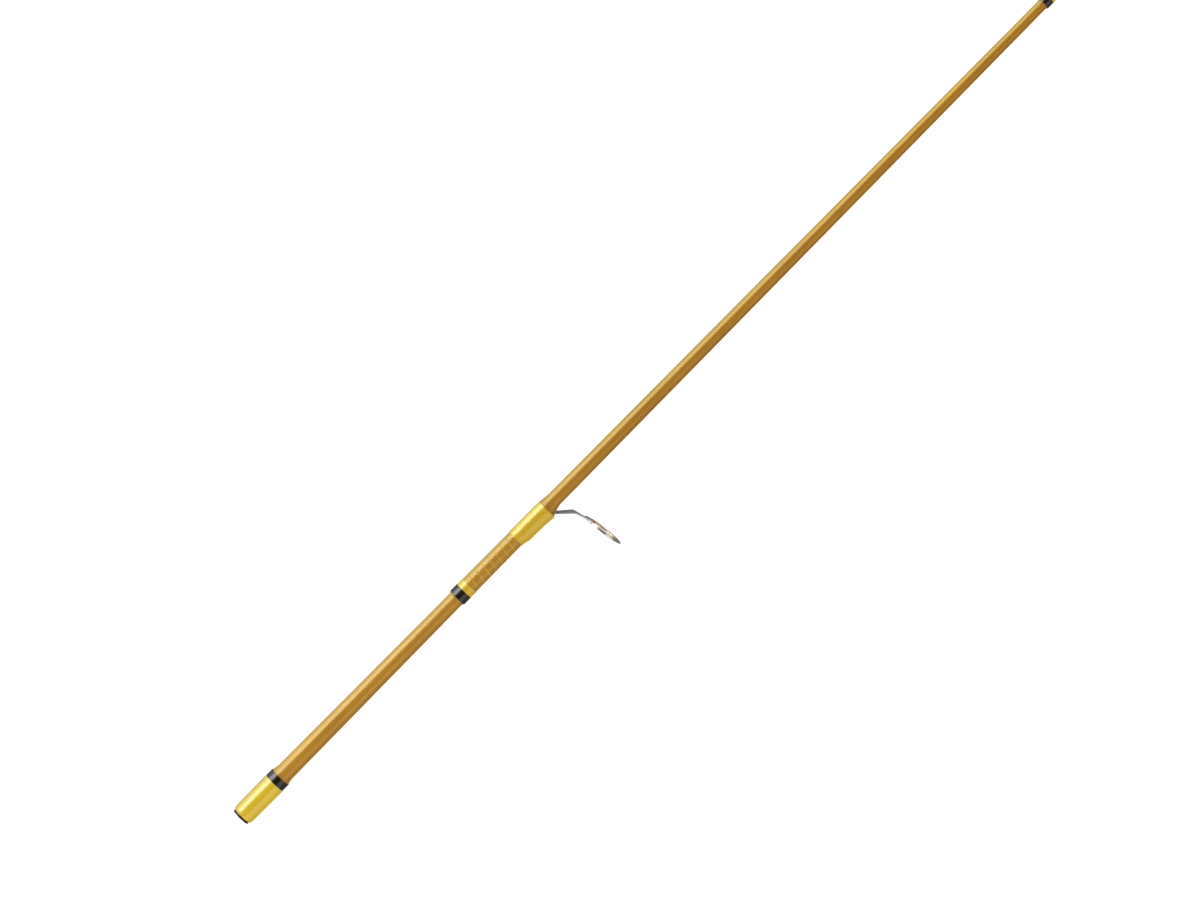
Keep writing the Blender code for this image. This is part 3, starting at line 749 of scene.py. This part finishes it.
def makeStartRunOut(prefix, reach, build):
    # the small one in front of a trim band
    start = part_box(prefix + "_trim_band")[0].x
    makeRunOut(prefix + "_start_run_out", start, start - reach, lambda a: build, [])


# Ferrule end

ferrule = {
    "lipRounding": 0.00022, "lipSides": 96, "lipSteps": 6, "wrapStations": 10,
    "wrapEase": (0.0034, 0.0003), "wrapDrop": (0.00056, 0.00012), "wrapFlare": (-0.0001, 0.00022),
    "bandEase": (0.0002, 0.0003), "bandDrop": (0.00016, 0.0002), "bandBuild": 0.00062, "finishReach": 0.0003,
}


def makeFerrule():
    low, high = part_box("ferrule_lip")
    outer = high.y
    bore = blankRadius(0.0) - blank["mouthWall"]
    rounding = ferrule["lipRounding"]
    turns = quarterTurns(ferrule["lipSteps"])
    profile = [(high.x, outer)]
    profile += [(rounding * (1 - math.sin(t)), outer - rounding * (1 - math.cos(t))) for t in turns]
    profile += [(rounding * (1 - math.cos(t)), bore + rounding * (1 - math.sin(t))) for t in turns]
    profile.append((high.x, bore))
    dress(ringPiece("ferrule_mouth_ring", turnedRings(profile, ferrule["lipSides"])), "resin", "ferrule_lip")
    windBand("ferrule_wrap", "yellow", ferrule["wrapEase"], ferrule["wrapDrop"], ferrule["wrapStations"],
             ferrule["wrapFlare"])
    windBand("ferrule_trim_band", "black", ferrule["bandEase"], ferrule["bandDrop"])
    low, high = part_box("ferrule_finish")
    makeRunOut("ferrule_run_out", low.x - wraps["seam"], high.x + ferrule["finishReach"],
               lambda a: ferrule["bandBuild"], ["ferrule_finish"])


makeFerrule()
print("ferrule made")


# Ring guides

guideShape = {
    # leg; bends are in sheet thicknesses, satin marks in knee heights
    "lean": math.radians(8.0), "legAngle": math.radians(46.0), "heelBend": 1.6, "kneeBend": 2.8,
    "bendSteps": 12, "legCorner": 0.32, "cornerSteps": 4, "legClearance": 0.0003, "legThinning": 0.38,
    "footInset": 0.0010, "footTipShare": 0.14, "groundShare": 0.85, "satinReach": 1.2, "satinBlend": 0.2,
    # ring frame and liner
    "ringSides": 144, "rimSteps": 5, "frameRound": 0.42, "linerSteps": 22,
    # the wrap over the foot, and how its end is rounded and sinks
    "wrapSides": 144, "wrapStations": 45, "wrapCrowding": 1.5, "wrapShort": 0.0008,
    "wrapTail": 0.0046, "wrapTailDrop": 0.00010, "wrapStart": 0.0004, "wrapStartDrop": 0.00008,
    "riseShare": 0.24, "risePlain": 0.85, "riseGrowth": 0.30, "riseHeel": 0.80,
    "endRound": 0.0012, "endDrop": 0.6,
    # the other wraps and the clear finish
    "accentTrim": 0.7, "wrapEdge": (0.00008, 0.00008), "accentDrop": (0.00006, 0.00006),
    "underDrop": (0.00006, 0.00002), "underStations": 12,
    "finishReach": 0.0010, "finishUnderLeg": 1.15, "startRunOut": 0.0014, "startBuild": 0.00030,
}
guides = (
    {"name": "guide1", "kneeHeight": 0.0124, "sheet": 0.0011, "footWidth": 0.0020, "legWidth": 0.0042,
     "frameWidth": 0.0013, "frameDepth": 0.00085, "linerWidth": 0.0014, "linerDepth": 0.00125,
     "spiralTurns": 7, "footRise": 0.00109},
    {"name": "guide2", "kneeHeight": 0.0080, "sheet": 0.0009, "footWidth": 0.0018, "legWidth": 0.0032,
     "frameWidth": 0.0010, "frameDepth": 0.00078, "linerWidth": 0.0011, "linerDepth": 0.00112,
     "spiralTurns": 5, "footRise": 0.00087},
    {"name": "guide3", "kneeHeight": 0.0056, "sheet": 0.0008, "footWidth": 0.0015, "legWidth": 0.0025,
     "frameWidth": 0.0009, "frameDepth": 0.00072, "linerWidth": 0.0009, "linerDepth": 0.0010,
     "spiralTurns": 4, "footRise": 0.00071},
)
spiralLook = {"strands": 2, "spacing": 1.85, "height": 0.40}
footFit = {"under": 0.00020, "seat": 0.00008, "wall": 0.00038}


def footSeat(guide):
    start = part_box(guide["name"] + "_foot_wrap")[0].x + guideShape["footInset"]
    return blankRadius(start) + 2 * footFit["seat"] + footFit["under"]


def bentPath(corners, radii):
    # a path of (along, distance from the axis) points with each corner rounded by an arc
    path = [Vector(corners[0])]
    for before, corner, after, radius in zip(corners, corners[1:], corners[2:], radii):
        corner = Vector(corner)
        back = (Vector(before) - corner).normalized()
        ahead = (Vector(after) - corner).normalized()
        half = back.angle(ahead) / 2
        reach = radius / math.tan(half)
        centre = corner + (back + ahead).normalized() * (radius / math.sin(half))
        first = corner + back * reach - centre
        last = corner + ahead * reach - centre
        for i in range(guideShape["bendSteps"] + 1):
            path.append(centre + first.slerp(last, i / guideShape["bendSteps"]).normalized() * radius)
    path.append(Vector(corners[-1]))
    return path


def roundedSection(width, thick, corner, steps):
    # (aside, off) points of a rectangle with round corners, all the way round
    points = []
    for quarter, (sideSign, faceSign) in enumerate(((1, 1), (-1, 1), (-1, -1), (1, -1))):
        for i in range(steps + 1):
            turn = math.pi / 2 * (quarter + i / steps)
            points.append((
                sideSign * (width / 2 - corner) + corner * math.cos(turn),
                faceSign * (thick / 2 - corner) + corner * math.sin(turn),
            ))
    return points


def guideLeg(guide):
    # the stamped strip: foot along the blank, heel, leg, knee, and up to the ring frame
    name = guide["name"]
    sheet = guide["sheet"]
    wrapLow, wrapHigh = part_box(name + "_foot_wrap")
    centre = ringCentre(guide)
    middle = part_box(name + "_frame")[1].y - guide["frameWidth"] / 2
    heel = wrapHigh.x + guideShape["legClearance"]
    footLine = footSeat(guide) + sheet / 2
    knee = heel + (guide["kneeHeight"] - footLine) / math.tan(guideShape["legAngle"])
    lean = guideShape["lean"]
    ringFoot = (centre.x - middle * math.sin(lean), -centre.z - middle * math.cos(lean))
    footStart = wrapLow.x + guideShape["footInset"]
    ground = footStart + guideShape["groundShare"] * (heel - footStart)
    tipSheet = sheet * guideShape["footTipShare"]
    path = [Vector((footStart, footLine - sheet / 2 + tipSheet / 2))]
    path += bentPath([(ground, footLine), (heel, footLine), (knee, guide["kneeHeight"]), ringFoot],
                     [guideShape["heelBend"] * sheet, guideShape["kneeBend"] * sheet])
    run = [0.0]
    for one, two in zip(path, path[1:]):
        run.append(run[-1] + (two - one).length)
    rings = []
    for i, point in enumerate(path):
        before = path[max(i - 1, 0)]
        after = path[min(i + 1, len(path) - 1)]
        along = (after - before).normalized() if i > 1 else Vector((1.0, 0.0))
        normal = Vector((-along.y, along.x))
        share = max(0.0, run[i] - run[2]) / (run[-1] - run[2])
        thick = tipSheet if i == 0 else sheet * (1.0 - guideShape["legThinning"] * share)
        flare = 1.0 - (1.0 - share) ** 4
        width = guide["footWidth"] + (guide["legWidth"] - guide["footWidth"]) * flare
        ring = []
        corner = thick * guideShape["legCorner"]
        for aside, off in roundedSection(width, thick, corner, guideShape["cornerSteps"]):
            spot = point + normal * off
            ring.append(Vector((spot.x, aside, -spot.y)))
        rings.append(ring)
    return ringMesh(name + "_leg", rings, closed=False)


def ringCentre(guide):
    low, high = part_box(guide["name"] + "_ring")
    return (low + high) / 2


def frameProfile(outer, width, depth):
    # a rounded rectangle section, as a rolled rim has
    corner = min(width, depth) * guideShape["frameRound"]
    section = roundedSection(depth, width, corner, guideShape["rimSteps"])
    return [(along, outer - width / 2 + off) for along, off in section]


def linerProfile(seat, width, depth):
    # flat where it is pressed in, and a rounded lip inside
    turns = evenSteps(0.0, math.pi, guideShape["linerSteps"] + 1)
    return [(-depth / 2 * math.cos(turn), seat - width * math.sin(turn)) for turn in turns]


def makeLiner(prefix, look, sides, centre, lean):
    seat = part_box(prefix + "_ring")[1].y
    rings = turnedRings(linerProfile(seat, look["linerWidth"], look["linerDepth"]), sides, centre, lean)
    dress(ringPiece(prefix + "_liner", rings), "gold", prefix + "_ring", sharpAngle=60.0)


def unite(base, tools):
    for tool in tools:
        union = base.modifiers.new(tool.name, "BOOLEAN")
        union.operation = "UNION"
        union.solver = "EXACT"
        union.object = tool
    bakeMesh(base)
    for tool in tools:
        bpy.data.objects.remove(tool)
    return base


def makeGuideHardware(guide):
    name = guide["name"]
    centre = ringCentre(guide)
    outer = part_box(name + "_frame")[1].y
    rim = turnedRings(frameProfile(outer, guide["frameWidth"], guide["frameDepth"]),
                      guideShape["ringSides"], centre, guideShape["lean"])
    leg = newPiece(name + "_leg", guideLeg(guide))
    hardware = unite(ringPiece(name + "_stamped_frame", rim), [leg])
    reach, blend = guideShape["satinReach"], guideShape["satinBlend"]
    heights = [point.co.z / guide["kneeHeight"] for point in hardware.data.vertices]
    markPoints(hardware.data, "satin", [min(1.0, max(0.0, (reach + height) / blend)) for height in heights])
    dress(hardware, "steel", name + "_frame", sharpAngle=32.0)
    makeLiner(name, guide, guideShape["ringSides"], centre, guideShape["lean"])


def footWrapPlaces(guide):
    # thread and coating over the blank and the foot: round, and fuller on the guides' side
    shape = guideShape
    low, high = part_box(guide["name"] + "_foot_wrap")
    start = low.x - wraps["seam"]
    end = high.x - shape["wrapShort"] * guide["sheet"] / guides[0]["sheet"]
    last = shape["wrapStations"] - 1
    places = []
    for i in range(last + 1):
        # the stations crowd towards the end
        x = start + (end - start) * (1.0 - (1.0 - i / last) ** shape["wrapCrowding"])
        share = (x - start) / (end - start)
        climb = min(1.0, share / shape["riseShare"])
        rise = shape["risePlain"] + shape["riseGrowth"] * share + shape["riseHeel"] * share ** 6
        rise *= guide["footRise"] * (3 * climb ** 2 - 2 * climb ** 3)
        lastPart = 1.0 - min(1.0, (end - x) / shape["endRound"])
        rise -= shape["endDrop"] * guide["sheet"] * (1.0 - math.sqrt(1.0 - lastPart ** 2))
        tail = shape["wrapTailDrop"] * (1.0 - min(1.0, (end - x) / shape["wrapTail"])) ** 2
        ease = shape["wrapStartDrop"] * (1.0 - min(1.0, (x - start) / shape["wrapStart"])) ** 2
        core = blankRadius(x) + 2 * footFit["seat"] + footFit["under"]
        core = core + footFit["wall"] - wraps["threadHeight"]

        def radius(angle, core=core, rise=rise, tail=tail, ease=ease):
            guideSide = ((1.0 + math.cos(angle)) / 2) ** 2
            return core + rise * guideSide - tail * max(0.0, -math.cos(angle)) - ease

        places.append((x, radius))
    return places


def makeGuideWraps(guide):
    name = guide["name"]
    edge = guideShape["wrapEdge"]
    accentTrim = guideShape["accentTrim"] * guide["sheet"]
    windBand(name + "_trim_band", "black")
    windBand(name + "_accent_band", "yellowDeep", edge, guideShape["accentDrop"], trim=accentTrim)
    low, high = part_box(name + "_underwrap")
    build = coatedBuild(name + "_underwrap")
    underPlaces = easedEnds(
        low.x - wraps["seam"] - accentTrim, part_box(name + "_foot_wrap")[0].x + wraps["seam"],
        lambda x, angle: blankRadius(x) + build, edge, guideShape["underDrop"], guideShape["underStations"])
    windOn(name + "_underwrap_wound", underPlaces, "brown", name + "_underwrap")
    spiralLow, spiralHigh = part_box(name + "_spiral_thread")
    thread = (spiralHigh.y - high.y) / 2
    step = thread * spiralLook["spacing"]
    length = spiralHigh.x - spiralLow.x - 2 * thread - step * (spiralLook["strands"] - 1)
    windOn(name + "_spiral_wound", underPlaces, "spiral", name + "_spiral_thread", changes={
        "Start": spiralLow.x + thread, "Length": length, "Pitch": length / guide["spiralTurns"],
        "Thread Width": 2 * thread, "Thread Height": thread * spiralLook["height"],
        "Strands": spiralLook["strands"], "Strand Step": step, "Keep Sleeve": False,
    })
    footPlaces = footWrapPlaces(guide)
    windOn(name + "_foot_wound", footPlaces, "yellowDeep", name + "_foot_wrap", guideShape["wrapSides"],
           lambda x: blankRadius(x) + footFit["under"])
    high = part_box(name + "_finish")[1]
    wrapEnd, endRadius = footPlaces[-1]
    rod = blankRadius(wrapEnd)
    legFace = rod + guideShape["finishUnderLeg"] * guide["sheet"]
    makeRunOut(name + "_run_out", wrapEnd - wraps["seam"], high.x + guideShape["finishReach"],
               lambda a: min(endRadius(a), legFace / max(0.2, math.cos(a))) - rod, [name + "_finish"])
    makeStartRunOut(name, guideShape["startRunOut"], guideShape["startBuild"])


for guide in guides:
    makeGuideHardware(guide)
    makeGuideWraps(guide)
    print(guide["name"], "made")


# Tip-top

tipTop = {
    "tubeWall": 0.00035, "tubeLength": 0.0130, "nose": 0.0012, "coneLength": 0.0008, "coneSteps": 6,
    "shoulder": 0.0004, "neckLength": 0.0006, "neckRadius": 0.0004, "edge": 0.00012, "sides": 64,
    "lean": math.radians(12.0), "ringSides": 96, "frameWidth": 0.0009, "frameDepth": 0.0009,
    "linerWidth": 0.0008, "linerDepth": 0.0011,
    "braceRadius": 0.0004, "braceStart": 0.0035, "braceSpread": math.radians(58.0), "braceSides": 20,
    "braceSink": 0.0010, "braceTaper": 0.0010, "wrapEase": (0.00008, 0.0002), "wrapDrop": (0.00006, 0.00016),
    "startRunOut": 0.0018, "startBuild": 0.00026,
}


def makeBrace(name, start, end):
    along = (end - start).normalized()
    across = along.cross(Vector((0.0, 1.0, 0.0))).normalized()
    beside = along.cross(across)
    radius = tipTop["braceRadius"]
    length = (end - start).length
    bevel = tipTop["edge"]
    rings = []
    for shift, share in ((0.0, 0.4), (tipTop["braceTaper"], 1.0), (length - bevel, 1.0), (length, 0.9)):
        rings.append([start + along * shift + (across * math.cos(a) + beside * math.sin(a)) * radius * share
                      for a in turnAngles(tipTop["braceSides"])])
    return ringPiece(name, rings, closed=False)


def makeTipTop():
    low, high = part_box("tiptop_frame")
    tubeStart = low.x
    bore = blankRadius(tubeStart) + footFit["seat"]
    outer = bore + tipTop["tubeWall"]
    edge = tipTop["edge"]
    boreEnd = tubeStart + tipTop["tubeLength"]
    noseEnd = boreEnd + tipTop["nose"]
    neckEnd = noseEnd + tipTop["neckLength"]
    coneStart = noseEnd - tipTop["coneLength"]
    neck = tipTop["neckRadius"]
    profile = [(neckEnd, neck * 0.3), (neckEnd, neck), (noseEnd, neck)]
    profile += [(noseEnd - tipTop["coneLength"] * (1 - math.cos(t)), neck + (outer - neck) * math.sin(t))
                for t in quarterTurns(tipTop["coneSteps"])]
    profile += [(coneStart - tipTop["shoulder"], outer), (tubeStart + edge, outer),
                (tubeStart + edge * 0.3, outer - edge * 0.3), (tubeStart, outer - edge),
                (tubeStart, bore), (boreEnd, bore), (boreEnd, bore * 0.3)]
    tube = ringPiece("tiptop_tube", turnedRings(profile, tipTop["sides"]), closed=False)
    middle = high.y - tipTop["frameWidth"] / 2
    lean = tipTop["lean"]
    down = leanAxes(lean)[1]
    centre = Vector((neckEnd, 0.0, 0.0)) + down * middle
    rim = ringPiece("tiptop_rim", turnedRings(
        frameProfile(high.y, tipTop["frameWidth"], tipTop["frameDepth"]), tipTop["ringSides"], centre, lean))
    braces = []
    for side in (1.0, -1.0):
        spread = tipTop["braceSpread"]
        onTube = around(tubeStart + tipTop["braceStart"], side * math.pi / 4, outer)
        onRing = centre + (down * math.cos(spread) + Vector((0.0, side, 0.0)) * math.sin(spread)) * middle
        sunk = onTube - (onRing - onTube).normalized() * tipTop["braceSink"]
        braces.append(makeBrace("tiptop_brace", sunk, onRing))
    dress(unite(tube, [rim] + braces), "steel", "tiptop_frame", sharpAngle=32.0)
    makeLiner("tiptop", tipTop, tipTop["ringSides"], centre, lean)
    windBand("tiptop_wrap", "yellowDeep", tipTop["wrapEase"], tipTop["wrapDrop"])
    windBand("tiptop_trim_band", "black")
    makeStartRunOut("tiptop", tipTop["startRunOut"], tipTop["startBuild"])


makeTipTop()
print("tip-top made")


# Stage: floor, world, soft overhead light and the cards that polished metal sees

stage = {
    "floorHeight": -0.5, "floorSize": 24.0, "floorColour": (0.86, 0.86, 0.86, 1.0), "floorGlow": 0.08,
    "ambient": 1.05, "softboxCentre": (0.27, 0.75, 2.0), "softboxSize": (2.2, 1.6), "softboxPower": 16.0,
}
cards = {
    # centre, size along X, size up the card, turn about X from lying flat, grey
    "softboxFace": ((0.27, -0.22, 1.98), 2.2, 1.45, 0.0, 6.4),
    "frontCard": ((0.25, -2.6, 1.75), 9.0, 3.5, math.radians(90.0), 0.015),
    "upperBackCard": ((0.25, 0.93, 2.0), 6.0, 1.0, math.radians(-25.0), 1.7),
    "backCard": ((0.25, 3.0, 0.75), 9.0, 2.4, math.radians(90.0), 0.33),
    "underCard": ((0.25, 1.25, -0.46), 9.0, 3.3, 0.0, 0.25),
}


def seenDirectly(tree):
    # 1 for camera, glossy and transmission rays
    path = shade(tree, "LightPath").outputs
    both = calc(tree, "MAXIMUM", path["Is Camera Ray"], path["Is Glossy Ray"])
    return calc(tree, "MAXIMUM", both, path["Is Transmission Ray"])


def plainPlane(name, centre, width, height, turn):
    half = Vector((width / 2, height / 2, 0.0))
    spin = Matrix.Rotation(turn, 3, "X")
    corners = [Vector(centre) + spin @ Vector((sx * half.x, sy * half.y, 0.0))
               for sx, sy in ((-1, -1), (1, -1), (1, 1), (-1, 1))]
    mesh = bpy.data.meshes.new(name)
    mesh.from_pydata(corners, [], [(0, 1, 2, 3)])
    plane = newPiece(name, mesh)
    return plane


def paintPlane(plane, name, glow, colour=None):
    # a plain glow; with a colour, as on the floor, it is lit as well and shows only from above
    material = bpy.data.materials.new(name)
    material.use_nodes = True
    tree = material.node_tree
    tree.nodes.clear()
    surface = shade(tree, "Emission", {"Color": white, "Strength": glow})
    if colour:
        diffuse = shade(tree, "BsdfDiffuse", {"Color": colour})
        both = shade(tree, "AddShader", {0: diffuse, 1: surface})
        fromBelow = shade(tree, "NewGeometry").outputs["Backfacing"]
        clear = shade(tree, "BsdfTransparent")
        surface = shade(tree, "MixShader", {0: fromBelow, 1: both, 2: clear})
    shade(tree, "OutputMaterial", {"Surface": surface})
    plane.data.materials.append(material)


def makeFloor():
    size = stage["floorSize"]
    floor = plainPlane("floor", (0.0, 0.0, stage["floorHeight"]), size, size, 0.0)
    paintPlane(floor, "whiteFloor", stage["floorGlow"], stage["floorColour"])


def makeCard(name, centre, width, height, turn, grey):
    card = plainPlane(name, centre, width, height, turn)
    for rays in ("camera", "diffuse", "transmission", "shadow"):
        setattr(card, "visible_" + rays, False)
    paintPlane(card, name, grey)


def makeWorld():
    world = bpy.data.worlds.new("studio")
    scene.world = world
    world.use_nodes = True
    tree = world.node_tree
    strength = remap(tree, seenDirectly(tree), 0.0, 1.0, stage["ambient"], 1.0)
    wire(tree, tree.nodes["Background"].inputs, {"Color": white, "Strength": strength})


def makeSoftbox():
    light = bpy.data.lights.new("softbox", "AREA")
    light.shape = "RECTANGLE"
    light.size, light.size_y = stage["softboxSize"]
    light.energy = stage["softboxPower"]
    softbox = bpy.data.objects.new("softbox", light)
    scene.collection.objects.link(softbox)
    softbox.location = stage["softboxCentre"]
    softbox.rotation_euler = (-softbox.location).to_track_quat("-Z", "Y").to_euler()
    softbox.visible_glossy = False  # its card stands in for it there


makeFloor()
for cardName, values in cards.items():
    makeCard(cardName, *values)
makeWorld()
makeSoftbox()
print("stage made")


# Camera: square to the rod at the picture's middle, 28 degrees above it, rolled so that the rod climbs

view = {
    "foot": 0.2472, "distance": 1.73, "elevation": math.radians(28.0), "roll": math.radians(45.394),
    "target": (0.2472, 0.0, 0.0011), "focalPixels": 3597.0, "imageWidth": 1200.0, "sensor": 36.0,
    "clip": (0.01, 60.0),
}


def makeCamera():
    data = bpy.data.cameras.new("camera")
    data.sensor_width = view["sensor"]
    data.lens = view["focalPixels"] * view["sensor"] / view["imageWidth"]
    data.clip_start, data.clip_end = view["clip"]
    camera = bpy.data.objects.new("camera", data)
    scene.collection.objects.link(camera)
    place = Vector((view["foot"], -view["distance"] * math.cos(view["elevation"]),
                    view["distance"] * math.sin(view["elevation"])))
    forward = (Vector(view["target"]) - place).normalized()
    alongRod = Vector((1.0, 0.0, 0.0))
    alongRod = (alongRod - forward * alongRod.dot(forward)).normalized()
    acrossRod = alongRod.cross(forward)
    right = alongRod * math.cos(view["roll"]) - acrossRod * math.sin(view["roll"])
    up = alongRod * math.sin(view["roll"]) + acrossRod * math.cos(view["roll"])
    turn = Matrix((right, up, -forward)).transposed().to_4x4()
    camera.matrix_world = Matrix.Translation(place) @ turn
    scene.camera = camera


makeCamera()
scene.view_settings.view_transform = "Standard"
